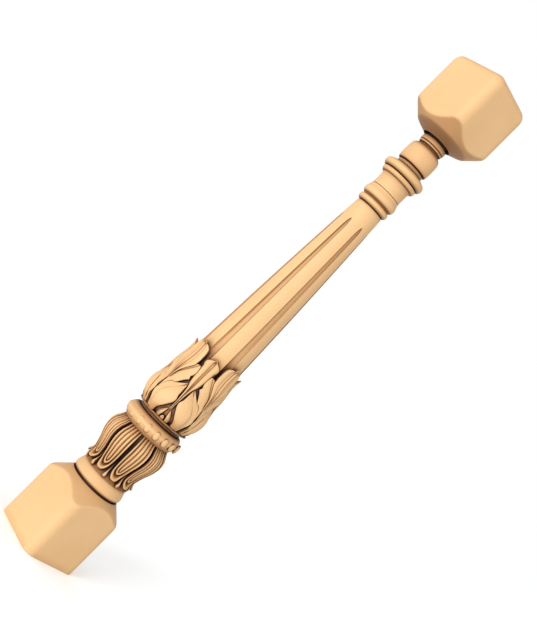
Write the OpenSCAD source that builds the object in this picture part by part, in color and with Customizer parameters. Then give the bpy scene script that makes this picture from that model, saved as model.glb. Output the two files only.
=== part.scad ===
// Carved stone baluster: square blocks at both ends, a tapering fluted shaft between them,
// a leaf cup, a bead ring and a lobed vase below it, and turned collars above it.
// One piece of stone, standing on its bottom block. Millimetres, +Z up, Z = 0 at the underside.

/* [Overall] */
// Height from the underside to the top of the top block
total_h = 900; // [720:5:1200]
// Width of the square blocks across their flat faces
block_w = 100; // [83:1:125]

/* [Blocks] */
// Height of the bottom block's flat sides, up to where its shoulder starts to turn in
bottom_block_h = 85.5; // [60:0.5:140]
// Height of the top block's flat sides, down to where its shoulder starts to turn in
top_block_h = 79.5; // [60:0.5:140]
// Radius of the blocks' rounded upright edges
edge_r = 15; // [6:0.5:18]
// Radius of the rounding over the top block's upper edges
crown_r = 16; // [6:0.5:20]
// Radius of the turned corner where a block's sides meet its sloping shoulder
shoulder_r = 11; // [6:0.5:18]

/* [Foot mouldings] */
// Height of the cushion moulding above the bottom block
cushion_h = 21; // [14:0.5:28]
// Greatest radius of the cushion moulding
cushion_r = 41.8; // [38:0.2:43]
// Radius at the bottom of the narrow grooves between mouldings
groove_r = 37.5; // [34:0.5:38]
// Height of the narrow grooves between mouldings
groove_h = 2; // [1:0.25:3]

/* [Lobed vase] */
// Height of the lobed vase
vase_h = 78; // [62:1:96]
// Greatest radius over the lobes
vase_r = 49.7; // [44:0.1:56]
// Radius over the lobes at their waist, above their tips
vase_waist_r = 38.9; // [36:0.1:43]
// Number of hanging lobes
lobe_count = 10; // [8:1:14]
// Height by which the lobes stand out of the vase
lobe_relief = 5.5; // [2:0.25:7]
// Width of a lobe's raised rim
lobe_rim = 2.6; // [1.5:0.1:3.4]
// Width of the slots between the lobes
lobe_slot = 5.5; // [2:0.1:7]

/* [Bead ring] */
// Height of the ring that carries the beads
bead_ring_h = 26; // [20:0.5:32]
// Greatest radius of the ring that carries the beads
bead_ring_r = 47.8; // [44:0.2:54]
// Number of oval beads
bead_count = 18; // [12:1:22]
// Width of one oval bead
bead_w = 8.5; // [5:0.25:10]
// Height of one oval bead
bead_h = 12.5; // [8:0.25:16]
// Height by which the beads stand out of the ring
bead_relief = 0.7; // [0.3:0.1:2]
// Distance of the bead carving off the axis, which sinks the beads on one side
bead_shift = 1.1; // [0:0.1:1.5]

/* [Leaf cup] */
// Height of the leaves, from the ring to their tips
leaf_h = 125; // [96:1:150]
// Greatest radius over the leaves
leaf_r = 50.5; // [46:0.1:57]
// Radius over the leaves' tips
leaf_tip_r = 43.5; // [42:0.1:48]
// Gap between the leaf tips and the shaft behind them
leaf_gap = 1.6; // [1:0.1:2.5]

/* [Shaft] */
// Radius of the shaft at its foot, behind the leaf tips
shaft_foot_r = 36.8; // [33:0.1:38]
// Radius of the shaft at its head, below the collars
shaft_head_r = 22.2; // [18:0.1:24]
// Swelling of the shaft beyond a straight taper, at mid height
shaft_swell = 1.1; // [0:0.1:2.5]
// Number of flutes
flute_count = 7; // [5:1:9]
// Angle that a flute covers at its foot, in degrees
flute_deg = 19; // [12:0.5:24]
// Depth of the flutes
flute_depth = 3.6; // [2:0.1:5]
// Turn of the first flute about the axis, in degrees
flute_turn = 67; // [0:1:360]
// Distance from the flutes' pointed heads to the shaft's head
flute_stop = 28; // [15:1:60]

/* [Collars] */
// Radius of the small ring at the shaft's head
ring_r = 25.8; // [23:0.1:30]
// Radius of the second ring at the shaft's head
ring2_r = 27.3; // [24:0.1:32]
// Radius of the plain drum between the collars
drum_r = 24.2; // [20:0.1:26]
// Height of the plain drum between the collars
drum_h = 19.5; // [12:0.5:40]
// Greatest radius of the wide collar
collar_r = 34.1; // [30:0.1:40]
// Greatest radius of the barrel above the wide collar
barrel_r = 25.8; // [22:0.1:32]
// Height of the barrel above the wide collar
barrel_h = 34.5; // [24:0.5:50]
// Radius of the neck and of the groove below the top block
neck_r = 18; // [15:0.1:20]
// Depth of the ring-shaped hollow around the neck, in the top block's underside
hollow_h = 9; // [2:0.5:14]

/* [Hidden] */
STONE = [0.97, 0.82, 0.61];
STONE_DARK = [0.86, 0.68, 0.47];

corner_r = (block_w / 2 - edge_r) * sqrt(2) + edge_r;  // reach of a block's rounded upright edge
turn_r = corner_r + 0.5;                               // reach of the turned shoulders and crown
slope_r = turn_r - shoulder_r * (1 - cos(45));         // where a shoulder's arc meets its 45 slope
foot_r = cushion_r - 1.8;                              // where the bottom block's 45 slope ends
arc_drop = shoulder_r * sin(45);                       // height that a shoulder's arc takes

// Heights up the foot, from the underside
z_slope = bottom_block_h + arc_drop;
z_groove = z_slope + slope_r - foot_r;
z_cushion = z_groove + groove_h;
z_vase = z_cushion + cushion_h;
z_ring = z_vase + vase_h;
z_leaf = z_ring + bead_ring_h + groove_h;
z_leaf_top = z_leaf + leaf_h;

// Heights down the head, from the top
dome_r = neck_r + 25.5;                                // where the turned dome meets the 45 slope
dome_h = 9.4;                                          // rise of the dome from the neck to the slope
neck_h = 14.7;                                         // neck and ring between the barrel and the top block
collar_h = 31;                                         // wide collar, up to the barrel
rings_h = 30.5;                                        // the two rings between the shaft and the drum
z_top_slope = total_h - top_block_h - arc_drop;
z_dome = z_top_slope - (slope_r - dome_r) - dome_h;
z_barrel = z_dome - neck_h - barrel_h;
z_collar = z_barrel - collar_h;
z_drum = z_collar - drum_h;
z_head = z_drum - rings_h;

core_overlap = 20;                                     // depth by which the shaft runs into the blocks
beyond = 60;                                           // a radius outside every carved surface
TURNED = 96;                                           // facets around a turned surface

// ---- curves ----

// Part of an ellipse about centre c, from angle a0 to angle a1, in n steps
function arc(c, rx, rz, a0, a1, n = 8) =
    [for (i = [0:n]) let (a = a0 + (a1 - a0) * i / n) c + [rx * cos(a), rz * sin(a)]];

// Half-round moulding from z0 to z1 that stands out from radius r_in to radius r_out
function bulge(r_in, r_out, z0, z1, n = 8) =
    arc([r_in, (z0 + z1) / 2], r_out - r_in, (z1 - z0) / 2, -90, 90, n);

// One span of a smooth curve through b and c, between the neighbours a and d
function span_point(a, b, c, d, t) =
    0.5 * (2 * b + (c - a) * t + (2 * a - 5 * b + 4 * c - d) * t * t
           + (3 * b - 3 * c + d - a) * t * t * t);

// Smooth curve through every point of p, in n steps a span
function flow(p, n = 3) = let (last = len(p) - 1)
    concat([for (i = [0:last - 1], k = [0:n - 1])
                span_point(p[max(i - 1, 0)], p[i], p[i + 1], p[min(i + 2, last)], k / n)],
           [p[last]]);

// Radius of a profile at height z
function radius_at(profile, z) = lookup(z, [for (p = profile) [p[1], p[0]]]);

// Profile moved inwards by d
function sunk(profile, d) = [for (p = profile) p - [d, 0]];

function shaft_radius(z) = let (t = (z - z_leaf_top) / (z_head - z_leaf_top))
    shaft_foot_r + (shaft_head_r - shaft_foot_r) * t + 4 * shaft_swell * t * (1 - t);

// ---- profiles, as points of [radius, height] ----

vase_curve = flow([
    [vase_waist_r + 2.4, z_vase + 0.03 * vase_h],
    [vase_waist_r + 2.6, z_vase + 0.09 * vase_h],
    [vase_waist_r, z_vase + 0.20 * vase_h],
    [vase_waist_r + 2.1, z_vase + 0.34 * vase_h],
    [vase_r - 2.2, z_vase + 0.56 * vase_h],
    [vase_r, z_vase + 0.73 * vase_h],
    [vase_r - 3.0, z_vase + 0.89 * vase_h],
    [vase_waist_r + 0.6, z_ring + 1]]);

vase_core = flow([
    [groove_r - 2, z_vase],
    [vase_waist_r - lobe_relief, z_vase + 0.20 * vase_h],
    [vase_r - lobe_relief - 2.2, z_vase + 0.56 * vase_h],
    [vase_r - lobe_relief, z_vase + 0.73 * vase_h],
    [groove_r, z_ring]]);

ring_curve = flow([
    [bead_ring_r - 7.3, z_ring],
    [bead_ring_r - 3.5, z_ring + 0.17 * bead_ring_h],
    [bead_ring_r - 0.8, z_ring + 0.37 * bead_ring_h],
    [bead_ring_r, z_ring + 0.55 * bead_ring_h],
    [bead_ring_r - 1.5, z_ring + 0.75 * bead_ring_h],
    [bead_ring_r - 5.8, z_ring + 0.94 * bead_ring_h],
    [bead_ring_r - 9, z_ring + bead_ring_h]]);

leaf_curve = flow([
    [leaf_r - 9.8, z_leaf],
    [leaf_r - 3.2, z_leaf + 0.12 * leaf_h],
    [leaf_r, z_leaf + 0.25 * leaf_h],
    [leaf_r - 1.6, z_leaf + 0.36 * leaf_h],
    [leaf_r - 4.9, z_leaf + 0.49 * leaf_h],
    [leaf_tip_r + 1.9, z_leaf + 0.63 * leaf_h],
    [leaf_tip_r - 0.8, z_leaf + 0.78 * leaf_h],
    [leaf_tip_r - 0.9, z_leaf + 0.88 * leaf_h],
    [leaf_tip_r + 0.9, z_leaf_top + 2]]);

cup_core = flow([
    [groove_r + 0.5, z_leaf],
    [leaf_r - 6.5, z_leaf + 0.25 * leaf_h],
    [shaft_radius(z_leaf + 0.5 * leaf_h) + 1.5, z_leaf + 0.50 * leaf_h],
    [shaft_radius(z_leaf + 0.75 * leaf_h), z_leaf + 0.75 * leaf_h]], 4);

shaft_curve = [for (i = [1:10])
    let (z = z_leaf + 0.75 * leaf_h + (z_head - z_leaf - 0.75 * leaf_h) * i / 10) [shaft_radius(z), z]];

foot_curve = concat(
    [[foot_r - 4, z_groove - 3], [groove_r, z_groove - 0.5], [groove_r, z_cushion]],
    arc([groove_r, z_cushion + 4], cushion_r - groove_r, 4, -80, 0, 5),
    arc([groove_r - 1, z_cushion + 4], cushion_r - groove_r + 1, cushion_h - 4, 12, 90, 6));

head_curve = concat(
    [[shaft_head_r - 1.6, z_head + 0.5]],
    bulge(shaft_head_r - 0.5, ring_r, z_head + 1.5, z_head + 13),
    bulge(drum_r - 0.6, ring2_r, z_head + 13, z_drum),
    [[drum_r, z_drum + 1], [drum_r - 0.5, z_drum + drum_h / 2], [drum_r, z_collar - 1]],
    arc([drum_r, z_collar + 10], collar_r - 4.4 - drum_r, 10, -80, 0, 6),
    bulge(collar_r - 7, collar_r, z_collar + 10.5, z_collar + 24.5, 10),
    [[neck_r + 4, z_collar + 26.5], [neck_r + 3.8, z_barrel - 1]],
    flow([[neck_r + 6, z_barrel], [barrel_r - 0.6, z_barrel + 0.2 * barrel_h],
          [barrel_r, z_barrel + 0.37 * barrel_h], [barrel_r - 0.8, z_barrel + 0.7 * barrel_h],
          [barrel_r - 2.4, z_barrel + 0.88 * barrel_h], [neck_r + 0.8, z_barrel + barrel_h]]),
    [[neck_r + 0.4, z_dome - 13.5], [neck_r + 2, z_dome - 12], [neck_r + 2.1, z_dome - 9.5],
     [neck_r + 2.9, z_dome - 8], [neck_r + 2.9, z_dome - 1.8], [neck_r - 1, z_dome - 1.2],
     [neck_r - 1, z_dome + core_overlap]]);

// ---- blocks ----

module rounded_square(w, r) {
    polygon([for (turn = [0:90:270]) each
        [for (p = arc([w / 2 - r, w / 2 - r], r, r, 0, 90, 8))
            [p.x * cos(turn) - p.y * sin(turn), p.x * sin(turn) + p.y * cos(turn)]]]);
}

// Upright wall with its two upper edges rounded over, running along Y
module crowned_wall() {
    rotate([90, 0, 0]) linear_extrude(block_w + 2, center = true)
        polygon(concat([[-block_w / 2, z_dome - 2], [block_w / 2, z_dome - 2]],
            arc([block_w / 2 - crown_r, total_h - crown_r], crown_r, crown_r, 0, 90),
            arc([crown_r - block_w / 2, total_h - crown_r], crown_r, crown_r, 90, 180)));
}

module bottom_block() {
    color(STONE) intersection() {
        linear_extrude(z_groove + 1) rounded_square(block_w, edge_r);
        rotate_extrude($fn = TURNED) polygon(concat(
            [[0, 0], [turn_r, 0]],
            arc([turn_r - shoulder_r, bottom_block_h], shoulder_r, shoulder_r, 0, 45),
            [[foot_r, z_groove], [0, z_groove]]));
    }
}

module top_block() {
    color(STONE) intersection() {
        translate([0, 0, z_dome - 1]) linear_extrude(total_h - z_dome + 2) rounded_square(block_w, edge_r);
        crowned_wall();
        rotate(90) crowned_wall();
        rotate_extrude($fn = TURNED) polygon(concat(
            [[0, z_dome + hollow_h], [neck_r + 5.5, z_dome + hollow_h]],
            flow([[neck_r + 6.3, z_dome + 1.2], [neck_r + 10, z_dome + 2.4], [neck_r + 17, z_dome + 5.3],
                  [dome_r - 3.5, z_dome + 7.6], [dome_r, z_dome + dome_h]]),
            arc([turn_r - shoulder_r, total_h - top_block_h], shoulder_r, shoulder_r, -45, 0),
            arc([turn_r - crown_r, total_h - crown_r], crown_r, crown_r, 0, 90),
            [[0, total_h]]));
    }
}

// ---- turned body ----

module turned_core() {
    color(STONE) rotate_extrude($fn = TURNED) polygon(concat(
        [[0, z_groove - core_overlap], [cushion_r - 3.1, z_groove - core_overlap]],
        foot_curve, vase_core, ring_curve, cup_core, shaft_curve, head_curve,
        [[0, z_dome + core_overlap]]));
}

// Solid of revolution under a profile, closed in to the axis
module turned(profile) {
    last = profile[len(profile) - 1];
    rotate_extrude($fn = TURNED) polygon(concat([[0, profile[0][1]]], profile, [[0, last[1]]]));
}

// Upright outline, pushed out from the axis along +X; the points are [degrees, height]
module outline(points, profile, reach) {
    rotate([90, 0, 90]) linear_extrude(reach) polygon(
        [for (p = points) [radius_at(profile, p[1]) * sin(p[0]), p[1]]]);
}

// Both halves of an outline that is symmetric about its middle line
function both_sides(half) = concat(half, [for (i = [len(half) - 1:-1:0]) [-half[i][0], half[i][1]]]);

// ---- flutes ----

module flutes() {
    z0 = leaf_z(0.72);
    z1 = z_head - flute_stop;
    length = z1 - z0;
    steps = 8;
    half = concat(
        [[flute_deg / 2, z0]],
        [for (i = [0:steps]) let (t = i / steps)
            [flute_deg / 2 * (1 - 0.32 * t), z0 + (length - 16) * t]],
        [for (a = [22:22:88]) [flute_deg / 2 * 0.68 * cos(a), z1 - 16 + 16 * sin(a)]]);
    band = [for (i = [0:steps + 1]) let (z = z0 - 1 + (length + 2) * i / (steps + 1)) [shaft_radius(z), z]];
    profile = concat(sunk(band, flute_depth), [for (i = [steps + 1:-1:0]) band[i] + [4, 0]]);
    color(STONE_DARK) intersection() {
        rotate_extrude($fn = TURNED) polygon(profile);
        for (i = [0:flute_count - 1])
            rotate(i * 360 / flute_count - flute_turn) outline(both_sides(half), band, beyond);
    }
}

// ---- lobed vase ----

// Outline of one hanging lobe, drawn in by d from its edge and further up from its round tip
function lobe_outline(d) =
    let (half_deg = 180 / lobe_count - (lobe_slot / 2 + d) / vase_r * 180 / PI,
         side = lobe_side[0][1],
         tip = lobe_side[len(lobe_side) - 1][1])
    both_sides(concat(
        [[half_deg, z_ring + 1]],
        [for (p = lobe_side) [half_deg * p[0],
            z_vase + p[1] * vase_h + 2 * d * (side - p[1]) / (side - tip)]]));

// Lower part of a lobe's edge, as [share of its half width, share of the vase's height]
lobe_side = [[1, 0.48], [0.95, 0.34], [0.88, 0.243], [0.8, 0.175], [0.66, 0.127], [0.45, 0.09],
             [0.22, 0.065], [0.03, 0.058]];

module lobe_prisms(d) {
    for (i = [0:lobe_count - 1])
        rotate((i + 0.5) * 360 / lobe_count - 45) outline(lobe_outline(d), vase_curve, beyond);
}

// Each lobe has a raised rim, a sunk band inside it and a tongue in the middle
module lobes() {
    band_sink = 1.6;
    tongue_inset = 2.1 * lobe_rim;
    tongue_sink = 0.5;
    color(STONE) difference() {
        intersection() {
            turned(vase_curve);
            lobe_prisms(0);
        }
        difference() {
            lobe_prisms(lobe_rim);
            turned(sunk(vase_curve, band_sink));
        }
    }
    color(STONE) intersection() {
        turned(sunk(vase_curve, tongue_sink));
        lobe_prisms(tongue_inset);
    }
}

// Thin darts low in the slots between the lobes, each widening down to a small round tip
module darts() {
    half = [[0.4, z_vase + 0.40 * vase_h], [0.8, z_vase + 0.26 * vase_h], [1.4, z_vase + 0.13 * vase_h],
            [2.8, z_vase + 0.06 * vase_h], [2.6, z_vase + 0.03 * vase_h], [1.2, z_vase + 0.01 * vase_h]];
    color(STONE) intersection() {
        turned(sunk(concat([[vase_waist_r + 2, z_vase - 1]], vase_curve), 0.8));
        for (i = [0:lobe_count - 1])
            rotate(i * 360 / lobe_count - 45) outline(both_sides(half), vase_curve, beyond);
    }
}

// ---- bead ring ----

module beads() {
    z_mid = z_ring + 0.55 * bead_ring_h;
    color(STONE_DARK) translate([bead_shift * cos(45), bead_shift * sin(45), 0]) intersection() {
        turned(sunk(ring_curve, -bead_relief));
        for (i = [0:bead_count - 1])
            rotate(i * 360 / bead_count - 48) translate([0, 0, z_mid])
                rotate([90, 0, 90]) linear_extrude(beyond)
                    polygon(arc([0, 0], bead_w / 2, bead_h / 2, 0, 330, 11));
    }
}

// Thin lip under the leaves
module lip() {
    color(STONE) turned(bulge(groove_r - 2, leaf_r - 6.2, z_leaf + 2.5, z_leaf + 6.7));
}

// ---- leaf cup ----

function leaf_z(t) = z_leaf + t * leaf_h;
function leaf_points(half) = both_sides([for (p = half) [p[0], leaf_z(p[1])]]);

// Ring of four leaves; each is an outline cut from one turned shell, with a gap behind its tip
module leaf_ring(half, turn, sink) {
    z_free = leaf_z(0.74);
    z_end = z_leaf_top + 1.5;
    difference() {
        intersection() {
            turned(sunk(leaf_curve, sink));
            for (i = [0:3]) rotate(90 * i + turn) outline(leaf_points(half), leaf_curve, beyond);
        }
        rotate_extrude($fn = TURNED) polygon([
            [0, z_free + 2], [shaft_radius(z_free) - 1, z_free],
            [shaft_radius(z_free) + leaf_gap, z_free + 6],
            [shaft_radius(z_end) + leaf_gap + 1, z_end + 4], [0, z_end + 4]]);
    }
}

// The big leaf's three pairs of lobes, as half outlines of [degrees, share of the leaf's height]
lower_lobe = [[1, 0.02], [20, 0.01], [27, 0.05], [25, 0.12], [34.3, 0.19], [39.7, 0.245], [42, 0.31],
              [40.1, 0.38], [37.5, 0.45], [33.4, 0.52], [28, 0.50], [20, 0.44], [1, 0.40]];
middle_lobe = [[1, 0.05], [9, 0.12], [12.5, 0.27], [11.2, 0.425], [17.7, 0.425], [25, 0.50],
               [29.2, 0.545], [33, 0.562], [29.6, 0.58], [32.3, 0.65], [30.6, 0.70], [28, 0.746],
               [20, 0.75], [1, 0.75]];
crown_lobe = [[1, 0.10], [6, 0.28], [11, 0.45], [16, 0.60], [21.6, 0.74], [21.6, 0.89], [19, 0.925],
              [14, 0.945], [9, 0.963], [6, 0.955], [3, 0.97], [1, 1.0]];
// The narrow leaf between two big ones, and the pair of small leaflets at its foot
narrow_leaf = [[1.8, 0.22], [2.2, 0.336], [4.8, 0.444], [8.8, 0.576], [11, 0.661], [14.6, 0.754],
               [14.4, 0.785], [16.8, 0.80], [16.4, 0.835], [12, 0.875], [5, 0.895], [1, 0.916]];
leaflets = [[16, 0.01], [14.5, 0.07], [10, 0.135], [4.5, 0.19], [2.5, 0.16], [5, 0.11], [1, 0.10]];

module big_leaves() {
    color(STONE) leaf_ring(lower_lobe, 0, 1.7);
    color(STONE) leaf_ring(middle_lobe, 0, 0.9);
    color(STONE) leaf_ring(crown_lobe, 0, 0);
}

module narrow_leaves() {
    color(STONE) leaf_ring(narrow_leaf, 45, 0.4);
    color(STONE) leaf_ring(leaflets, 45, 2.6);
}

// ---- the whole piece ----

module baluster() {
    union() {
        bottom_block();
        top_block();
        difference() {
            turned_core();
            flutes();
        }
        lobes();
        darts();
        beads();
        lip();
        big_leaves();
        narrow_leaves();
    }
}

baluster();
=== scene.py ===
"""Carved stone baluster: the finished look of the one CAD node, built as one closed mesh.

Lengths are in millimetres while the forms are worked out, and become metres in solid(). The
material, the lights and the camera are in metres throughout.
A place on the carving is (angle about the axis in degrees, height); angle 0 is world +X, and the
blocks' upright edges lie at -45, 45, 135 and 225 degrees. The camera faces the edge at -45.
"""

import math

import bmesh
import bpy
import numpy as np
from mathutils import Matrix, Vector


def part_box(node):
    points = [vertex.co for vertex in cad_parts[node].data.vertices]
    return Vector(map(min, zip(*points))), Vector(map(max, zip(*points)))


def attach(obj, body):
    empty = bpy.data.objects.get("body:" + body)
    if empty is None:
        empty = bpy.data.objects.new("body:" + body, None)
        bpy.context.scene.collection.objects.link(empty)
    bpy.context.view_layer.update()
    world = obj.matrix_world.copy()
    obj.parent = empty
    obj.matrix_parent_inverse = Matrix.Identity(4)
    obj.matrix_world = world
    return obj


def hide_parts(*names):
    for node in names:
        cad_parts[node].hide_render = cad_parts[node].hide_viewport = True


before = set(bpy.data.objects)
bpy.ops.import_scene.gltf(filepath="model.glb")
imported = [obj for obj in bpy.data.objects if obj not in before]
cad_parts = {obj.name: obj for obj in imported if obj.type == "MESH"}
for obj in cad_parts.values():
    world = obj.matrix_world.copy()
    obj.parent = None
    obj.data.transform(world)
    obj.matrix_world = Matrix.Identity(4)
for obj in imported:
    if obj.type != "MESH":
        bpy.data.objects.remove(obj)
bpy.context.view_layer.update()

MM = 0.001
SEAT_LOW, SEAT_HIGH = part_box("baluster")
TOTAL_H = (SEAT_HIGH.z - SEAT_LOW.z) / MM
FRONT = -45.0                       # angle of the block edge that faces the camera

# Blocks
BLOCK_HALF = 50.0
BLOCK_COLUMNS = 128                 # columns of points round a block
EDGE_R = 15.0                       # rounding of the upright edges
CROWN_R = 16.0                      # rounding of the top block's upper edges
SHOULDER_R = 11.0                   # turned corner between a block's sides and its shoulder
BOTTOM_SIDE_TOP = 85.5              # where the bottom block's sides start to turn in
TOP_SIDE_LOW = TOTAL_H - 79.5       # where the top block's sides start to turn in
BOTTOM_SHOULDER_END = 40.0          # radius at which the bottom block's shoulder ends
TOP_SHOULDER_END = 30.0             # the same for the top block
UNDERSIDE_SCALE = 0.993             # the underside's arris is barely softened
ROW_STEP = 1.25                     # between rows of points where a block is turned

# Heights of the members, from the foot up
Z_GROOVE = 114.6
Z_CUSHION = 116.6
Z_RING = 215.5
Z_LEAF = 243.5
LEAF_H = 125.0
Z_LEAF_TOP = Z_LEAF + LEAF_H

# Heights of the members, from the head down
Z_DOME = TOTAL_H - 115.3
Z_BARREL = Z_DOME - 49.2
Z_COLLAR = Z_BARREL - 31.0
Z_DRUM = Z_COLLAR - 19.5
Z_HEAD = Z_DRUM - 30.5

# Shaft and flutes
SHAFT_FOOT_R = 36.2
SHAFT_HEAD_R = 22.0
SHAFT_SWELL = 0.9                   # how far the taper stands out half way up
FLUTES = 7
FLUTE_TURN = -68.3                  # angle of the first flute's middle line
FLUTE_DEPTH = 3.6                   # at the foot of the shaft
FLUTE_HEAD_DEPTH = 2.3
FLUTE_HALF = 9.6                    # half the angle that a flute covers at the foot
FLUTE_NARROWING = 3.0               # how much less that is at the head
FLUTE_LAND_COLUMNS = 3              # columns of points between two flutes
Z_FLUTE_LOW = Z_LEAF + 0.70 * LEAF_H
Z_FLUTE_HIGH = Z_HEAD - 28.0

# Carving
VASE_R = 49.7                       # at the vase's widest
LOBES = 10
LOBE_SLOT = 5.5                     # width of the slot between two lobes
LOBE_TIP = 142.0                    # height of a lobe's tip
LOBE_STRAIGHT = 176.0               # height from which its edges run straight up
BEADS = 18
BEAD_TURN = FRONT - 3.3             # angle of the first bead
BEAD_R = 45.7                       # radius of the circle of the beads' middles
BEAD_W = 9.8
BEAD_H = 13.6
BEAD_DEPTH = 2.7                    # how far a bead stands out from its middle
Z_BEAD = Z_RING + 12.9
CARVING_SHIFT = 1.6                 # how far the bead carving sits off the axis, to the viewer's right
LIP_IN_R = 36.0                     # inside the cup's core
LIP_OUT_R = 43.2                    # without its waves
LOBE_ROOT = 4.0                     # how far lobes and darts reach into the vase's core
LEAF_ROOT = 3.0                     # how far leaves reach into the cup's core
LEAF_GAP = 1.6                      # between the shaft and the free part of a leaf
LEAF_FREE_FROM = 0.73               # share of a leaf's height from which it stands free
TIP_THICKNESS = 2.4
LEAST_THICKNESS = 1.2
LEAF_MM_PER_DEGREE = 0.82           # along a leaf's surface
FULL_RELIEF_SPREAD = 9.0            # a lobe narrower than this has shallower relief
LEAF_TURNS = (0, 90, 180, 270)      # middle lines of the big leaves


# ---- curves and profiles ----

def smooth(points, steps=6):
    """Smooth curve through every point, as an array with `steps` rows a span."""
    p = np.array([points[0], *points, points[-1]], float)
    t = np.arange(steps)[:, None] / steps
    rows = []
    for a, b, c, d in zip(p, p[1:], p[2:], p[3:]):
        rows.append(0.5 * (2 * b + (c - a) * t + (2 * a - 5 * b + 4 * c - d) * t ** 2
                           + (3 * b - 3 * c + d - a) * t ** 3))
    return np.vstack([*rows, p[-1:]])


def arc(centre, rx, rz, start, end, steps=8):
    """Arc of an ellipse from one angle to another, in degrees."""
    angle = np.radians(np.linspace(start, end, steps + 1))
    return np.array(centre) + np.column_stack([rx * np.cos(angle), rz * np.sin(angle)])


def bulge(r_in, r_out, z0, z1, steps=10):
    """Half-round moulding from z0 to z1, standing out from r_in to r_out."""
    return arc((r_in, (z0 + z1) / 2), r_out - r_in, (z1 - z0) / 2, -90, 90, steps)


def resample(curve, count):
    """The curve with `count` points evenly spread along its length."""
    along = np.concatenate([[0], np.cumsum(np.linalg.norm(np.diff(curve, axis=0), axis=1))])
    want = np.linspace(0, along[-1], count)
    return np.column_stack([np.interp(want, along, curve[:, k]) for k in range(curve.shape[1])])


def above(z0, *runs):
    """Runs of points, given as (radius, height over z0), as one run at its place."""
    return np.vstack(runs) + (0, z0)


def past(value, start, length):
    """0 up to the start, then evenly up to 1 over the length."""
    return np.clip((value - start) / length, 0, 1)


def hump(value, centre, width):
    """1 at the centre, falling away smoothly on both sides."""
    return np.exp(-((value - centre) / width) ** 2)


def shaft_radius(z):
    t = (z - Z_LEAF_TOP) / (Z_HEAD - Z_LEAF_TOP)
    return SHAFT_FOOT_R + (SHAFT_HEAD_R - SHAFT_FOOT_R) * t + 4 * SHAFT_SWELL * t * (1 - t)


def leaf_z(share):
    """Height of a place on the leaves, from its share of their height."""
    return Z_LEAF + LEAF_H * share


# Turned profiles that the carving follows, as (radius, height)
VASE = smooth([(40.6, 139), (41.4, 144), (40.0, 148), (38.9, 152.5), (39.8, 158), (42.9, 169),
               (47.2, 180.4), (49.2, 190), (49.2, 197.5), (46.9, 205.5), (42.4, 212), (39, 217)])
VASE_CORE = smooth([(35.0, 137.5), (31.4, 152.5), (33.4, 167), (37.4, 181), (40.0, 194.5),
                    (39.4, 206), (36.5, 215.5)], 2)
RING = smooth([(38.2, 214.6), (40.4, 216.4), (43.2, 220), (45.0, 222.5), (46.2, 225), (47.4, 228),
               (47.7, 230), (46.8, 232.6), (45.1, 235.2), (43.2, 237.8), (41.0, 239.8), (38.4, 241),
               (35.0, 241.6)], 3)
LEAF = smooth([(39.6, leaf_z(0)), (47.7, leaf_z(0.12)), (50.6, leaf_z(0.25)), (48.5, leaf_z(0.36)),
               (45.2, leaf_z(0.47)), (44.8, leaf_z(0.57)), (44.0, leaf_z(0.65)), (41.9, leaf_z(0.76)),
               (41.4, leaf_z(0.84)), (42.2, leaf_z(0.92)), (43.9, leaf_z(1.02))])
CUP_CORE = smooth([(38, leaf_z(0)), (42.0, leaf_z(0.12)), (44.0, leaf_z(0.25)), (42.0, leaf_z(0.38)),
                   (39.4, leaf_z(0.52)), (38.0, leaf_z(0.72))], 2)


def radius_on(profile, z):
    return np.interp(z, profile[:, 1], profile[:, 0])


# ---- closed meshes ----

def to_space(angle, radius, z):
    """Points from angle in degrees, radius and height arrays of one shape."""
    a = np.radians(angle)
    return np.stack([radius * np.cos(a), radius * np.sin(a), np.broadcast_to(z, a.shape)], axis=-1)


def loft(rings):
    """Closed skin through rings of equally many points, with a fan over each end."""
    rings = np.asarray(rings, float)
    rows, cols, _ = rings.shape
    points = np.vstack([rings.reshape(-1, 3), rings[0].mean(axis=0), rings[-1].mean(axis=0)])
    at = np.arange(rows * cols).reshape(rows, cols)
    after = np.roll(at, -1, axis=1)
    sides = np.stack([at[:-1], after[:-1], after[1:], at[1:]], axis=-1).reshape(-1, 4)
    low = [(b, a, rows * cols) for a, b in zip(at[0], after[0])]
    high = [(a, b, rows * cols + 1) for a, b in zip(at[-1], after[-1])]
    return points, [*sides.tolist(), *low, *high]


def slab(outer, inner, folded=False):
    """Closed slab between two grids of points; if folded, the grids' last row closes on itself."""
    rows, cols, _ = outer.shape
    top = np.arange(rows * cols).reshape(rows, cols)
    if folded:
        top[-1] = np.minimum(top[-1], top[-1, ::-1])
    low = top + rows * cols
    front = np.stack([top[:-1, :-1], top[:-1, 1:], top[1:, 1:], top[1:, :-1]], axis=-1)
    back = np.stack([low[:-1, :-1], low[1:, :-1], low[1:, 1:], low[:-1, 1:]], axis=-1)
    far = [] if folded else top[-1, :0:-1]
    rim = np.concatenate([top[0, :-1], top[:-1, -1], far, top[-1:0:-1, 0]]).astype(int)
    after = np.roll(rim, -1)
    walls = np.column_stack([rim, rim + rows * cols, after + rows * cols, after])
    points = np.vstack([outer.reshape(-1, 3), inner.reshape(-1, 3)])
    return points, np.vstack([front.reshape(-1, 4), back.reshape(-1, 4), walls]).tolist()


def solid(name, pieces):
    """Mesh object out of closed pieces that lie clear of each other."""
    points, faces = [], []
    for piece_points, piece_faces in pieces:
        start = sum(len(p) for p in points)
        points.append(piece_points)
        faces += [tuple(int(i) + start for i in face) for face in piece_faces]
    points = np.vstack(points) * MM
    used = sorted({i for face in faces for i in face})
    place = {old: new for new, old in enumerate(used)}
    mesh = bpy.data.meshes.new(name)
    mesh.from_pydata(points[used].tolist(), [], [tuple(place[i] for i in face) for face in faces])
    part = bpy.data.objects.new(name, mesh)
    bpy.context.scene.collection.objects.link(part)
    return part


# ---- blocks ----

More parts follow.
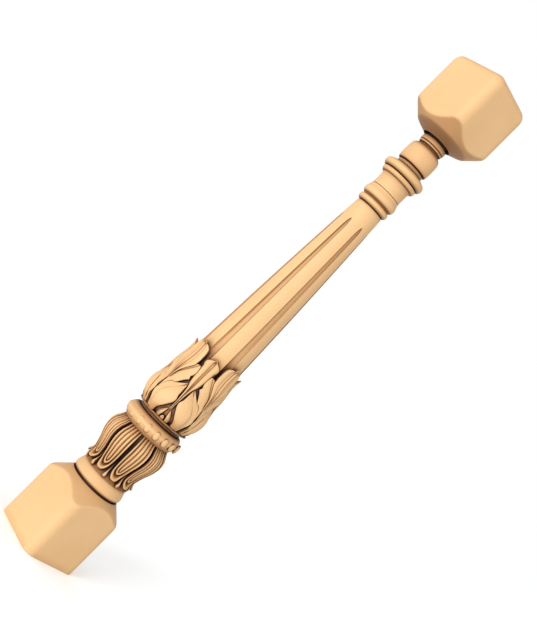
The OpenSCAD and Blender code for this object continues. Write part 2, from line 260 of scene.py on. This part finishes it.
def square_reach(angle, half, edge_r):
    """Distance from the axis to a rounded square, for each angle in degrees."""
    c, s = np.abs(np.cos(np.radians(angle))), np.abs(np.sin(np.radians(angle)))
    flat = half / np.maximum(c, s)
    b = half - edge_r
    root = np.sqrt(np.maximum(edge_r ** 2 - (b * (c - s)) ** 2, 0))
    past_flat = np.minimum(c, s) * flat > b
    return np.where(past_flat, b * (c + s) + root, flat)


def soft_min(a, b, blend):
    """The lesser of two, rounded off where they are within `blend` of each other."""
    h = np.clip(0.5 + 0.5 * (b - a) / blend, 0, 1)
    return b + (a - b) * h - blend * h * (1 - h)


CORNER_REACH = (BLOCK_HALF - EDGE_R) * math.sqrt(2) + EDGE_R
TURN_CENTRE = CORNER_REACH + 1.0 - SHOULDER_R      # radius of the centre of a shoulder's turned corner
ARRIS = 2.0                                        # softness of the arched edges
BLOCK_ANGLES = np.arange(BLOCK_COLUMNS) * 360 / BLOCK_COLUMNS


def block_ring(angles, turned_r, z):
    """One row of a block: the square, cut back to the turned radius."""
    reach = soft_min(square_reach(angles, BLOCK_HALF, EDGE_R), turned_r, ARRIS)
    return to_space(angles, reach, z)


def shoulder_reach(depth, end_r):
    """Turned radius at a depth past the level where the sides start to turn in."""
    turn = SHOULDER_R * math.sin(math.radians(45))
    if depth < 0:
        return TURN_CENTRE + SHOULDER_R - 0.6 * depth
    if depth < turn:
        return TURN_CENTRE + math.sqrt(SHOULDER_R ** 2 - depth ** 2)
    return max(TURN_CENTRE + 2 * turn - depth, end_r)


def bottom_block():
    heights = [0, 0.5, 12, 30, 48, 62, 72, *np.arange(77, Z_GROOVE, ROW_STEP), Z_GROOVE]
    rings = []
    for z in heights:
        reach = shoulder_reach(z - BOTTOM_SIDE_TOP, BOTTOM_SHOULDER_END)
        rings.append(block_ring(BLOCK_ANGLES, reach, z))
    rings[0][:, :2] *= UNDERSIDE_SCALE
    return solid("bottom_block", [loft(rings)])


def underside_rings():
    """Rows of the top block's underside: the hollow round the neck, then the shallow dome."""
    hollow = [(23.4, 9), (23.6, 2), (24.2, 1.2)]
    dome = smooth([(24.7, 1.5), (28, 3.2), (35, 6.2), (40, 8.2), (43.5, 9.8)], 4)
    return [block_ring(BLOCK_ANGLES, reach, Z_DOME + rise) for reach, rise in [*hollow, *dome]]


def crown_rings():
    """Rows of the top block's rounded upper edges, and one more inside its flat top."""
    rings = []
    for a in np.radians(np.linspace(0, 90, 13)):
        inset = CROWN_R * (1 - math.cos(a))
        reach = square_reach(BLOCK_ANGLES, BLOCK_HALF - inset, max(EDGE_R - inset, 0.6))
        rings.append(to_space(BLOCK_ANGLES, reach, TOTAL_H - CROWN_R + CROWN_R * math.sin(a)))
    rings.append(rings[-1] * (0.5, 0.5, 1))
    return rings


def top_block():
    rings = underside_rings()
    for z in [*np.arange(Z_DOME + 10.8, TOP_SIDE_LOW + 6, ROW_STEP), *np.arange(832, 872, 13)]:
        reach = shoulder_reach(TOP_SIDE_LOW - z, TOP_SHOULDER_END)
        rings.append(block_ring(BLOCK_ANGLES, reach, z))
    rings += crown_rings()
    return solid("top_block", [loft(rings)])


# ---- turned body ----

def flute_half_angle(z):
    """Half the angle that a flute covers at height z.

    It narrows upwards to a round point, above which the columns of points spread out again.
    """
    taper = FLUTE_HALF - FLUTE_NARROWING * past(z, Z_FLUTE_LOW, Z_FLUTE_HIGH - Z_FLUTE_LOW)
    end = past(z, Z_FLUTE_HIGH - 17, 17)
    closed = np.maximum(taper * np.sqrt(1 - end ** 2), 1.1)
    return closed + (FLUTE_HALF - closed) * past(z, Z_FLUTE_HIGH, 12)


def flute_depth(z):
    """Depth of a flute's floor at height z: full at the foot, less at the head, none above."""
    share = past(z, Z_FLUTE_LOW, Z_FLUTE_HIGH - Z_FLUTE_LOW)
    depth = FLUTE_DEPTH + (FLUTE_HEAD_DEPTH - FLUTE_DEPTH) * share
    end = past(z, Z_FLUTE_HIGH - 14, 14)
    return depth * np.sqrt(1 - end ** 2) * past(z, Z_FLUTE_LOW, 2) * (z <= Z_FLUTE_HIGH)


def foot_profile():
    """From inside the bottom block over the groove and the cushion."""
    groove = [(38, Z_GROOVE - 12), (38, Z_GROOVE - 1), (36.4, Z_GROOVE - 0.3), (36.2, Z_CUSHION)]
    cushion = arc((37.4, Z_CUSHION + 5.2), 4.3, 5.2, -90, 0, 7)
    cushion_top = smooth([(41.7, 122.0), (41.1, 125), (39.6, 130), (37.8, 135), (36.0, 137.3)], 3)
    return np.vstack([groove, cushion, cushion_top[1:]])


def shaft_profile():
    """The tapering shaft, with closer rows where the flutes come to their points."""
    heights = [*np.arange(leaf_z(0.74), Z_FLUTE_HIGH - 20, 7.0),
               *np.arange(Z_FLUTE_HIGH - 18, Z_FLUTE_HIGH + 3, 1.5),
               *np.arange(Z_FLUTE_HIGH + 5, Z_HEAD, 5.0)]
    return [(shaft_radius(z), z) for z in heights]


def head_profile():
    """From the shaft's head over rings, drum, collar, barrel and neck to inside the top block."""
    rings = above(
        Z_HEAD, [(21.5, 0), (19.8, 0.5), (19.8, 1.3)], bulge(20.8, 25.7, 1.5, 12.2, 8)[:-1],
        [(22.9, 12.6)],
        smooth([(23.6, 13.2), (26.0, 15.2), (27.2, 18.6), (27.0, 22), (26.0, 25), (24.8, 28),
                (24.2, Z_DRUM - Z_HEAD)], 3))
    drum = above(
        Z_DRUM, [(23.5, 0.5)],
        smooth([(24.0, 1.1), (23.9, 10), (24.0, Z_COLLAR - Z_DRUM - 0.8)], 3))
    collar = above(
        Z_COLLAR, [(24.7, 1.6), (25.4, 2.4), (25.2, 2.8)],
        smooth([(27.2, 3.0), (28.7, 4.6), (29.5, 7), (29.5, 9.4)], 3), [(28.0, 10.6)],
        bulge(29.2, 34.1, 11, 23, 10), smooth([(27.8, 24.2), (24.6, 25.4)], 3),
        [(21.0, 25.8), (21.0, 26.4), (21.9, 26.9)])
    barrel = above(
        Z_BARREL, [(21.9, -0.3), (20.4, 0.1), (20.4, 1.0)],
        smooth([(23.6, 1.2), (24.8, 3), (25.5, 11), (25.4, 17), (25.0, 25), (24.0, 29.2),
                (21.6, 32.2), (19.0, 33.8)], 3))
    neck = above(
        Z_BARREL, [(17.2, 34.6), (17.2, 36)],
        smooth([(18.9, 36.3), (20.0, 37.6), (20.1, 39.2)], 3),
        [(19.0, 39.8), (20.2, 40.4), (20.9, 41.2)])
    neck_head = above(Z_DOME, [(20.8, -2.8), (20.2, -1.9), (16.6, -1.7), (16.6, 12)])
    return np.vstack([rings, drum, collar, barrel, neck, neck_head])


def body_profile():
    """The whole turned profile, from inside the bottom block to inside the top block."""
    ring_seat = above(Z_RING, [(36.5, 0), (39, 6), (39, 20), (35.4, 26.4), (35.0, 29)])
    return np.vstack([foot_profile(), VASE_CORE[1:-1], ring_seat, CUP_CORE[2:-1], shaft_profile(),
                      head_profile()])


def turned_body():
    """Core, shaft and collars; its columns of points follow the edges of the flutes.

    A flute's section, from edge to edge, has steep sides and a nearly flat floor.
    """
    inside = np.array([-1, -0.96, -0.86, -0.66, -0.25, 0.25, 0.66, 0.86, 0.96, 1])
    section = np.maximum(1 - np.abs(inside) ** 4.5, 0) * (1 - 0.06 * np.cos(inside * math.pi))
    land = np.arange(1, FLUTE_LAND_COLUMNS + 1) / (FLUTE_LAND_COLUMNS + 1)
    pitch = 360 / FLUTES
    rings = []
    for radius, z in body_profile():
        half = float(flute_half_angle(z))
        angle = np.concatenate([inside * half, half + (pitch - 2 * half) * land])
        cut = np.concatenate([section * float(flute_depth(z)), np.zeros(FLUTE_LAND_COLUMNS)])
        angles = (FLUTE_TURN + pitch * np.arange(FLUTES)[:, None] + angle).ravel()
        rings.append(to_space(angles, radius - np.tile(cut, FLUTES), z))
    return solid("turned_body", [loft(rings)])


# ---- lobed vase ----

LOBE_HALF = 180 / LOBES
# Relief across half a lobe, from its edge (0) to its middle (1): rim, reed and middle reed
LOBE_SECTION = [(0, -1.6), (0.02, -0.5), (0.06, 0.2), (0.12, 0.45), (0.18, 0.2), (0.225, -0.6),
                (0.26, -1.7), (0.3, -2.1), (0.34, -1.8), (0.385, -1.0), (0.44, -0.5), (0.52, -0.25),
                (0.6, -0.35), (0.67, -0.8), (0.72, -1.6), (0.76, -1.9), (0.8, -1.6), (0.84, -0.7),
                (0.89, -0.1), (0.94, 0.25), (1, 0.35)]
# A lobe's edge from its tip up, as (share of its half width, height)
LOBE_EDGE = smooth([(0, LOBE_TIP), (0.24, 142.6), (0.46, 144.4), (0.66, 147.4), (0.8, 151.2),
                    (0.885, 156.5), (0.95, 164), (1, LOBE_STRAIGHT)], 3)
# How far up the middle line each part of the section starts, above the tip
LOBE_RISE = np.array([(0, 0), (0.237, 6.3), (0.378, 9.2), (0.704, 13.2), (0.822, 14.8), (1, 17)])


def lobe(centre):
    """One hanging lobe; each row of its grid follows its U-shaped edge, further in.

    The tip flares, the rim stands higher at the vase's widest, and a hollow runs inside the rim.
    """
    edge = np.vstack([LOBE_EDGE, [(1, 183), (1, 190), (1, 197), (1, 204), (1, 211), (1, Z_RING + 3)]])
    share = np.concatenate([-edge[:0:-1, 0], edge[:, 0]])
    height = np.concatenate([edge[:0:-1, 1], edge[:, 1]])
    half = LOBE_HALF - math.degrees(LOBE_SLOT / 2 / VASE_R)
    fade = 1 - past(height, LOBE_TIP, LOBE_STRAIGHT - LOBE_TIP)
    outer, inner = [], []
    for place, relief in LOBE_SECTION:
        z = height + np.interp(place, *LOBE_RISE.T) * fade
        angle = centre + share * half * (1 - place)
        flare = 1.2 * hump(place, 0, 0.2) * hump(z, LOBE_TIP + 0.5, 3.6)
        rim = 0.9 * max(1 - place / 0.24, 0) * hump(z, 193, 22)
        hollow = 1.4 * hump(place, 0.33, 0.08) * fade ** 2
        outer.append(to_space(angle, radius_on(VASE, z) + relief + flare + rim - hollow, z))
        inner.append(to_space(angle, radius_on(VASE_CORE, z) - LOBE_ROOT, z))
    return slab(np.array(outer), np.array(inner), folded=True)


def lobes():
    return solid("lobes", [lobe(FRONT + LOBE_HALF + 2 * LOBE_HALF * i) for i in range(LOBES)])


def dart(centre):
    """A thin ridge low in a slot between two lobes, which widens to a small round tip."""
    half = smooth([(0.2, 138.1), (1.4, 138.4), (2.7, 139.4), (3.0, 141.2), (2.2, 144), (1.3, 149),
                   (0.85, 155), (0.5, 163), (0.25, 171)], 3)
    across = np.array([-1, -0.85, -0.45, 0, 0.45, 0.85, 1])
    ridge = 0.9 * (1 - np.abs(across) ** 2) - 1.1
    z = np.repeat(half[:, 1:], len(across), axis=1)
    angle = centre + half[:, :1] * across
    sunk = np.interp(z, [139, 146, 160, 171], [0.1, 0.4, -1.6, -4.5])
    return slab(to_space(angle, radius_on(VASE, z) + ridge + sunk, z),
                to_space(angle, radius_on(VASE_CORE, z) - LOBE_ROOT, z))


def darts():
    return solid("darts", [dart(FRONT + 2 * LOBE_HALF * i) for i in range(LOBES)])


# ---- bead ring and lip ----

RING_ANGLES = np.arange(180) * 2.0


def to_right(angle):
    """1 towards the viewer's right of the camera's side of the baluster, -1 towards the left."""
    return np.sin(np.radians(angle - FRONT))


def bead_ring():
    """The turned ring, cut back along its middle on the right, where the beads stand out."""
    rings = []
    for radius, z in RING:
        band = math.exp(-((z - Z_BEAD) / 7.5) ** 4)
        sunk = 1.3 * np.clip(to_right(RING_ANGLES) - 0.25, 0, 1) * band
        rings.append(to_space(RING_ANGLES, radius - sunk, z))
    return solid("bead_ring", [loft(rings)])


def bead(turn):
    """One bead, an ellipsoid with its poles above and below."""
    r0 = BEAD_R + CARVING_SHIFT * float(to_right(turn))
    across = np.radians(np.arange(0, 360, 22.5))
    rings = []
    for polar in np.linspace(0.06, math.pi - 0.06, 12):
        aside = BEAD_W / 2 * math.sin(polar) * np.sin(across)
        out = r0 + BEAD_DEPTH * math.sin(polar) * np.cos(across)
        rings.append(to_space(turn + np.degrees(aside / r0), out, Z_BEAD - BEAD_H / 2 * math.cos(polar)))
    return loft(rings)


def beads():
    """Oval beads in a ring that sits a little off the axis, so they fade out on one side."""
    return solid("beads", [bead(BEAD_TURN + i * 360 / BEADS) for i in range(BEADS)])


def lip():
    """Thin wavy lip under the leaves."""
    wave = 0.5 * np.sin(np.radians(RING_ANGLES * 11))
    wave = wave + 0.35 * np.sin(np.radians(RING_ANGLES * 17 + 40))
    rings = []
    for radius, z in bulge(LIP_IN_R, LIP_OUT_R, Z_LEAF + 2.2, Z_LEAF + 6.6, 8):
        share = (radius - LIP_IN_R) / (LIP_OUT_R - LIP_IN_R)
        out = share * (0.8 * to_right(RING_ANGLES) + 0.55 * wave)
        rings.append(to_space(RING_ANGLES, radius + out, z + 0.35 * wave))
    return solid("lip", [loft(rings)])


# ---- leaves ----

# Each lobe of a leaf lies between two edges, given from its base to its tip as
# (degrees from the leaf's middle line, share of the leaf's height).
CROWN = [(1.6, 0.02), (1.6, 0.25), (1.7, 0.38), (2.2, 0.45), (3.8, 0.512), (7.6, 0.575),
         (13.6, 0.644), (19.8, 0.715), (20.9, 0.76), (20.4, 0.85), (19.4, 0.90), (17.6, 0.935),
         (12.6, 0.958), (8.2, 0.968), (5.6, 0.962), (3, 0.975), (0.3, 1.0)]
MIDDLE_OUT = [(0.5, 0.02), (0.5, 0.30), (0.5, 0.43), (1.4, 0.505), (4.8, 0.575), (10.8, 0.645),
              (16.6, 0.70), (20.5, 0.738), (26, 0.7495)]
MIDDLE_IN = [(4, 0.02), (2.2, 0.20), (3.4, 0.30), (6.5, 0.38), (11, 0.425), (17.2, 0.437),
             (22.9, 0.492), (28, 0.538), (31.9, 0.565), (29.4, 0.588), (33.0, 0.645), (32.3, 0.70),
             (30.0, 0.7475)]
SIDE_OUT = [(5, 0.02), (4.6, 0.134), (2.6, 0.18), (0.9, 0.234), (1.4, 0.292), (4.5, 0.355),
            (7.7, 0.41), (10.8, 0.432), (17.8, 0.436), (28.2, 0.485), (36.2, 0.524)]
SIDE_IN = [(12.4, 0.03), (12.0, 0.10), (11.9, 0.156), (12.6, 0.212), (14.6, 0.284), (18.8, 0.346),
           (25.2, 0.412), (31.6, 0.478), (36.6, 0.522)]
INNER_OUT = [(10.8, 0.03), (10.2, 0.10), (10.0, 0.156), (10.7, 0.212), (12.6, 0.284), (16.8, 0.346),
             (23.4, 0.412), (30.2, 0.478), (36.0, 0.522)]
INNER_IN = [(22, 0.03), (24, 0.09), (27.3, 0.13), (32.9, 0.185), (37, 0.232), (40.2, 0.27),
            (41.8, 0.315), (39.9, 0.335), (39.0, 0.40), (38.0, 0.482), (37.0, 0.522)]
LEAFLET_OUT = [(32.5, 0.02), (31.5, 0.07), (34.5, 0.125), (41, 0.186)]
LEAFLET_IN = [(38.5, 0.02), (38.2, 0.06), (40, 0.11), (41.8, 0.184)]
BUD = [(4.5, 0.02), (4.2, 0.055), (2.6, 0.082), (0.3, 0.095)]
NARROW = [(1.7, 0.20), (2.2, 0.31), (3.2, 0.40), (5.0, 0.482), (8.5, 0.546), (11.1, 0.616),
          (12.6, 0.692), (14.1, 0.765), (14.4, 0.785), (16.9, 0.812), (16.9, 0.842), (13.5, 0.867),
          (9, 0.884), (2.6, 0.905), (0.3, 0.924)]

# Relief across a lobe, from one edge (-1) to the other (1)
CROWN_SECTION = [(-1, -0.7), (-0.9, -0.15), (-0.7, 0.1), (-0.54, -0.3), (-0.44, -1.0), (-0.36, -0.4),
                 (-0.26, -0.5), (-0.16, -1.1), (-0.08, 0.4), (0, 0.9), (0.08, 0.4), (0.16, -1.1),
                 (0.26, -0.5), (0.36, -0.4), (0.44, -1.0), (0.54, -0.3), (0.7, 0.1), (0.9, -0.15),
                 (1, -0.7)]
BLADE_SECTION = [(-1, 0.1), (-0.78, 0.2), (-0.62, -0.7), (-0.46, 0.0), (0, 0.2), (0.5, 0.2),
                 (0.9, -0.1), (1, -0.6)]
STRIP_SECTION = [(-1, 0.3), (-0.5, 0.1), (-0.1, -0.1), (0.35, 0.25), (0.8, 0.2), (1, -0.4)]
BULGE_SECTION = [(-1, -0.8), (-0.9, -0.3), (-0.5, 0.2), (0, 0.4), (0.5, 0.2), (0.85, -0.4),
                 (1, -1.3)]
NARROW_SECTION = [(-1, -1.6), (-0.9, -0.7), (-0.65, 0.1), (-0.4, 0.1), (-0.2, -0.7), (-0.1, -1.0),
                  (-0.05, 0.2), (0, 0.5), (0.05, 0.2), (0.1, -1.0), (0.2, -0.7), (0.4, 0.1),
                  (0.65, 0.1), (0.9, -0.7), (1, -1.6)]


def mirrored(edge):
    """The same edge on the other side of the leaf's middle line."""
    return [(-a, t) for a, t in edge]


def section_at(section, across):
    """Relief at each place across; the sharp lines of the section stay at its own points."""
    at, relief = np.array(section).T
    return np.interp(across, at, relief)


def leaf_back(share, z, outer):
    """Inner radius of a lobe: rooted in the cup's core, free of the shaft further up, thin at its tip."""
    free = past(share, LEAF_FREE_FROM, 0.03)
    inner = (radius_on(CUP_CORE, z) - LEAF_ROOT) * (1 - free) + (shaft_radius(z) + LEAF_GAP) * free
    thin = free * past(share, share.max() - 0.10, 0.06)
    inner = inner * (1 - thin) + np.maximum(inner, outer - TIP_THICKNESS) * thin
    return np.minimum(inner, outer - LEAST_THICKNESS)


def leaf_lobe(middle, edge_a, edge_b, section, lift, rows=40):
    """One lobe between two edges, on the leaf whose middle line is at angle `middle`.

    `lift` is its height over the leaf surface, given as (share of the leaf's height, height).
    """
    a = resample(smooth(edge_a), rows)
    b = resample(smooth(edge_b), rows)
    places = {round(u, 3) for u, _ in section} | {-0.97, 0.97, -0.3, 0.3, -0.75, 0.75}
    across = np.array(sorted(places))
    u = (across + 1) / 2
    angle = a[:, :1] * (1 - u) + b[:, :1] * u
    share = a[:, 1:] * (1 - u) + b[:, 1:] * u
    z = leaf_z(share)
    spread = np.linalg.norm((a - b) * (LEAF_MM_PER_DEGREE, LEAF_H), axis=1)[:, None]
    relief = section_at(section, across) * np.clip(spread / FULL_RELIEF_SPREAD, 0.15, 1)
    raised = np.interp(share, *np.array(lift).T)
    outer = radius_on(LEAF, z) + relief + raised
    inner = leaf_back(share, z, outer)
    return slab(to_space(middle + angle, outer, z), to_space(middle + angle, inner, z))


def side_lobes(edge_a, edge_b, section, lift):
    """A lobe on each side of every big leaf: first the right-hand ones, then their mirror images."""
    flipped = [(-u, h) for u, h in reversed(section)]
    return ([leaf_lobe(m, edge_a, edge_b, section, lift) for m in LEAF_TURNS],
            [leaf_lobe(m, mirrored(edge_b), mirrored(edge_a), flipped, lift) for m in LEAF_TURNS])


def middle_lobes(edge, turn, section, lift, rows):
    """A lobe that is symmetric about its own middle line, four times round."""
    return [leaf_lobe(m + turn, mirrored(edge), edge, section, lift, rows) for m in LEAF_TURNS]


def leaves():
    """The four big leaves, lobe by lobe, and the four narrow leaves between them."""
    crown_lift = [(0, -1.0), (0.25, -0.4), (0.46, 2.1), (0.68, 2.4), (0.85, 1.5), (1, 0.4)]
    middle_lift = [(0, -1.2), (0.25, -1.0), (0.42, 0.5), (0.6, 0.1), (0.75, -0.5)]
    side_lift = [(0, -1.4), (0.2, -0.7), (0.3, -1.0), (0.4, -1.0), (0.53, -1.4)]
    inner_lift = [(0, -1.6), (0.15, 1.1), (0.25, 0.9), (0.33, 0.7), (0.42, -0.5), (0.53, -3.0)]
    leaflet_lift = [(0, -1.6), (0.1, -1.2), (0.19, -3.0)]
    narrow_lift = [(0.2, -2.0), (0.3, -0.6), (0.45, 0.4), (0.8, 0.3), (0.88, 0.5), (0.918, 1.3)]
    groups = [middle_lobes(CROWN, 0, CROWN_SECTION, crown_lift, 54),
              *side_lobes(MIDDLE_OUT, MIDDLE_IN, BLADE_SECTION, middle_lift),
              *side_lobes(SIDE_OUT, SIDE_IN, STRIP_SECTION, side_lift),
              *side_lobes(INNER_OUT, INNER_IN, BULGE_SECTION, inner_lift),
              *side_lobes(LEAFLET_OUT, LEAFLET_IN, BLADE_SECTION, leaflet_lift),
              middle_lobes(BUD, 45, BULGE_SECTION, leaflet_lift, 12),
              middle_lobes(NARROW, 45, NARROW_SECTION, narrow_lift, 46)]
    return [solid(f"leaf_part_{i}", group) for i, group in enumerate(groups)]


# ---- one stone ----

def joined(parts, name):
    """All the parts as one closed mesh, with what lies inside another part taken away."""
    base = parts[0]
    for part in parts[1:]:
        step = base.modifiers.new(part.name, "BOOLEAN")
        step.operation = "UNION"
        step.solver = "MANIFOLD"
        step.object = part
    evaluated = base.evaluated_get(bpy.context.evaluated_depsgraph_get())
    mesh = bpy.data.meshes.new_from_object(evaluated)
    mesh.name = name
    stone = bpy.data.objects.new(name, mesh)
    bpy.context.scene.collection.objects.link(stone)
    for part in parts:
        bpy.data.objects.remove(part)
    return stone


def shell_around(start, unseen):
    """All the faces joined to one face, taken out of the set of unseen faces."""
    shell, front = [start], [start]
    while front:
        beside = {other for edge in front.pop().edges for other in edge.link_faces} & unseen
        unseen -= beside
        shell.extend(beside)
        front.extend(beside)
    return shell


def drop_crumbs(mesh):
    """Keep only the largest shell; the others are crumbs, left where two parts graze each other."""
    bm = bmesh.new()
    bm.from_mesh(mesh)
    unseen = set(bm.faces)
    shells = []
    while unseen:
        shells.append(shell_around(unseen.pop(), unseen))
    shells.sort(key=len)
    bmesh.ops.delete(bm, geom=[face for shell in shells[:-1] for face in shell], context="FACES")
    bm.to_mesh(mesh)
    bm.free()


def soften(stone, angle=38):
    """Smooth shading, with edges kept sharp where faces meet at more than the angle."""
    for face in stone.data.polygons:
        face.use_smooth = True
    stone.data.set_sharp_from_angle(angle=math.radians(angle))


# ---- material ----

MIX_COLOUR_A, MIX_COLOUR_B, MIX_COLOUR_OUT = 6, 7, 2     # a Mix node's sockets for colours

# Painted shade in recesses: tints by how much of the surroundings a point sees within a distance, given
# in metres
BROAD_PAINTED_SHADE = (0.060, [(0.35, (0.10, 0.06, 0.035)), (0.60, (0.44, 0.33, 0.24)),
                      (0.80, (0.70, 0.60, 0.52)), (0.93, (0.92, 0.88, 0.85)), (1, (1, 1, 1))])
WIDE_PAINTED_SHADE = (0.014, [(0.10, (0.03, 0.015, 0.008)), (0.32, (0.30, 0.19, 0.11)),
                     (0.62, (0.84, 0.74, 0.64)), (0.92, (1, 1, 1))])
CLOSE_PAINTED_SHADE = (0.0035, [(0.2, (0.50, 0.37, 0.27)), (0.85, (1, 1, 1))])
# Painted shade by slope: tints from facing down (0) over upright (0.5) to facing up (1)
SLOPE_PAINTED_SHADE = [(0, (0.42, 0.33, 0.26)), (0.15, (0.68, 0.59, 0.51)), (0.32, (0.96, 0.94, 0.92)),
              (0.5, (1, 1, 1)), (0.65, (0.99, 0.98, 0.97)), (0.87, (0.85, 0.80, 0.76)),
              (1, (0.84, 0.79, 0.75))]
MOTTLING = [(0.3, (0.560, 0.346, 0.163)), (0.7, (0.610, 0.388, 0.190))]
GRAIN = [(0.3, (0.93, 0.92, 0.90)), (0.7, (1.04, 1.04, 1.04))]


def noise(tree, scale, detail, roughness):
    """Noise over the object's own metres; scale is in cells a metre."""
    coords = tree.nodes.new("ShaderNodeTexCoord")
    node = tree.nodes.new("ShaderNodeTexNoise")
    node.inputs["Scale"].default_value = scale
    node.inputs["Detail"].default_value = detail
    node.inputs["Roughness"].default_value = roughness
    tree.links.new(coords.outputs["Object"], node.inputs["Vector"])
    return node.outputs["Fac"]


def ramp(tree, source, stops):
    """Colour for each value of the source, from stops of (value, colour)."""
    node = tree.nodes.new("ShaderNodeValToRGB")
    elements = node.color_ramp.elements
    while len(elements) < len(stops):
        elements.new(0.5)
    for element, (place, colour) in zip(elements, stops):
        element.position = place
        element.color = (*colour, 1)
    tree.links.new(source, node.inputs["Fac"])
    return node.outputs["Color"]


def multiplied(tree, colour, tint):
    """The colour darkened by a tint."""
    node = tree.nodes.new("ShaderNodeMix")
    node.data_type = "RGBA"
    node.blend_type = "MULTIPLY"
    node.inputs["Factor"].default_value = 1.0
    tree.links.new(colour, node.inputs[MIX_COLOUR_A])
    tree.links.new(tint, node.inputs[MIX_COLOUR_B])
    return node.outputs[MIX_COLOUR_OUT]


def painted_recess_shade(tree, distance, stops):
    """Painted shade in the recesses that are closed in within a distance."""
    node = tree.nodes.new("ShaderNodeAmbientOcclusion")
    node.samples = 12
    node.only_local = True
    node.inputs["Distance"].default_value = distance
    return ramp(tree, node.outputs["AO"], stops)


def painted_slope_shade(tree, stops):
    """Painted shade on what faces down, and a little on what faces up."""
    geometry = tree.nodes.new("ShaderNodeNewGeometry")
    normal = tree.nodes.new("ShaderNodeSeparateXYZ")
    facing_up = tree.nodes.new("ShaderNodeMapRange")
    facing_up.inputs["From Min"].default_value = -1
    tree.links.new(geometry.outputs["Normal"], normal.inputs["Vector"])
    tree.links.new(normal.outputs["Z"], facing_up.inputs["Value"])
    return ramp(tree, facing_up.outputs["Result"], stops)


def stone_colour(tree):
    """Mottled and grained honey colour under its layers of painted shade."""
    mottling = ramp(tree, noise(tree, 9, 4, 0.55), MOTTLING)
    grain = ramp(tree, noise(tree, 900, 3, 0.6), GRAIN)
    colour = multiplied(tree, mottling, grain)
    # the slope and recess tints are painted shade, multiplied into the stone's colour
    for painted_shade in (painted_slope_shade(tree, SLOPE_PAINTED_SHADE), painted_recess_shade(tree, *BROAD_PAINTED_SHADE), painted_recess_shade(tree, *WIDE_PAINTED_SHADE),
                 painted_recess_shade(tree, *CLOSE_PAINTED_SHADE)):
        colour = multiplied(tree, colour, painted_shade)
    return colour


def stone_roughness(tree, low=0.52, high=0.70):
    node = tree.nodes.new("ShaderNodeMapRange")
    node.inputs["To Min"].default_value = low
    node.inputs["To Max"].default_value = high
    tree.links.new(noise(tree, 140, 3, 0.5), node.inputs["Value"])
    return node.outputs["Result"]


def stone_bump(tree, strength=0.25, depth=0.0003):
    node = tree.nodes.new("ShaderNodeBump")
    node.inputs["Strength"].default_value = strength
    node.inputs["Distance"].default_value = depth
    tree.links.new(noise(tree, 700, 4, 0.6), node.inputs["Height"])
    return node.outputs["Normal"]


def stone_material():
    """Fine honey-coloured stone: mottling and grain, with brown painted shade in recesses and on slopes.
    """
    mat = bpy.data.materials.new("honey_stone")
    mat.use_nodes = True
    tree = mat.node_tree
    shader = tree.nodes["Principled BSDF"]
    shader.inputs["Specular IOR Level"].default_value = 0.3
    tree.links.new(stone_colour(tree), shader.inputs["Base Color"])
    tree.links.new(stone_roughness(tree), shader.inputs["Roughness"])
    tree.links.new(stone_bump(tree), shader.inputs["Normal"])
    return mat


# ---- surroundings ----

FLOOR_REACH = 30.0
KEY_ENERGY = 2.7
KEY_SPREAD = 24.0                   # angle that the soft light's disc covers, in degrees
KEY_AZIMUTH = FRONT - 27
KEY_ELEVATION = 12.0
CAMERA_DISTANCE = 1.455             # from the axis
CAMERA_HEIGHT = 0.455
CAMERA_ASIDE = 0.0006               # towards the viewer's right
CAMERA_ROLL = 45.0
CAMERA_LENS = 60.5


def plain_material(name, colour, roughness):
    mat = bpy.data.materials.new(name)
    mat.use_nodes = True
    shader = mat.node_tree.nodes["Principled BSDF"]
    shader.inputs["Base Color"].default_value = (*colour, 1)
    shader.inputs["Roughness"].default_value = roughness
    shader.inputs["Specular IOR Level"].default_value = 0.1
    return mat


def floor():
    corners = [(x * FLOOR_REACH, y * FLOOR_REACH, 0) for x, y in ((-1, -1), (1, -1), (1, 1), (-1, 1))]
    mesh = bpy.data.meshes.new("floor")
    mesh.from_pydata(corners, [], [(0, 1, 2, 3)])
    mesh.materials.append(plain_material("pale_floor", (0.95, 0.95, 0.95), 0.9))
    obj = bpy.data.objects.new("floor", mesh)
    bpy.context.scene.collection.objects.link(obj)


def light():
    """White surroundings, and one soft light from the viewer's left."""
    world = bpy.data.worlds.new("studio")
    bpy.context.scene.world = world
    world.use_nodes = True
    background = world.node_tree.nodes["Background"]
    background.inputs["Color"].default_value = (1, 1, 1, 1)
    background.inputs["Strength"].default_value = 1.0
    lamp = bpy.data.lights.new("key", "SUN")
    lamp.energy = KEY_ENERGY
    lamp.angle = math.radians(KEY_SPREAD)
    key = bpy.data.objects.new("key", lamp)
    azimuth = math.radians(KEY_AZIMUTH)
    elevation = math.radians(KEY_ELEVATION)
    towards = Vector((math.cos(azimuth) * math.cos(elevation),
                      math.sin(azimuth) * math.cos(elevation), math.sin(elevation)))
    key.rotation_euler = towards.to_track_quat("Z", "Y").to_euler()
    bpy.context.scene.collection.objects.link(key)


def camera():
    """Level camera facing a block's upright edge, rolled so the baluster leans to the upper right."""
    roll = math.radians(CAMERA_ROLL)
    front = Vector((math.cos(math.radians(FRONT)), math.sin(math.radians(FRONT)), 0))
    up = Vector((0, 0, 1))
    right = up.cross(front)
    across = right * math.cos(roll) + up * math.sin(roll)
    upward = up * math.cos(roll) - right * math.sin(roll)
    lens = bpy.data.cameras.new("camera")
    lens.lens = CAMERA_LENS
    lens.clip_end = 100
    eye = bpy.data.objects.new("camera", lens)
    place = front * CAMERA_DISTANCE + right * CAMERA_ASIDE + up * CAMERA_HEIGHT
    turn = Matrix((across, upward, front)).transposed()
    eye.matrix_world = Matrix.Translation(place) @ turn.to_4x4()
    bpy.context.scene.collection.objects.link(eye)
    bpy.context.scene.camera = eye


# ---- the scene ----

stone = joined([turned_body(), bottom_block(), top_block(), lobes(), darts(), bead_ring(), beads(),
                lip(), *leaves()], "baluster_stone")
drop_crumbs(stone.data)
soften(stone)
stone.data.materials.clear()
stone.data.materials.append(stone_material())
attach(stone, "root")
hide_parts("baluster")

floor()
light()
camera()
bpy.context.scene.view_settings.view_transform = "Standard"
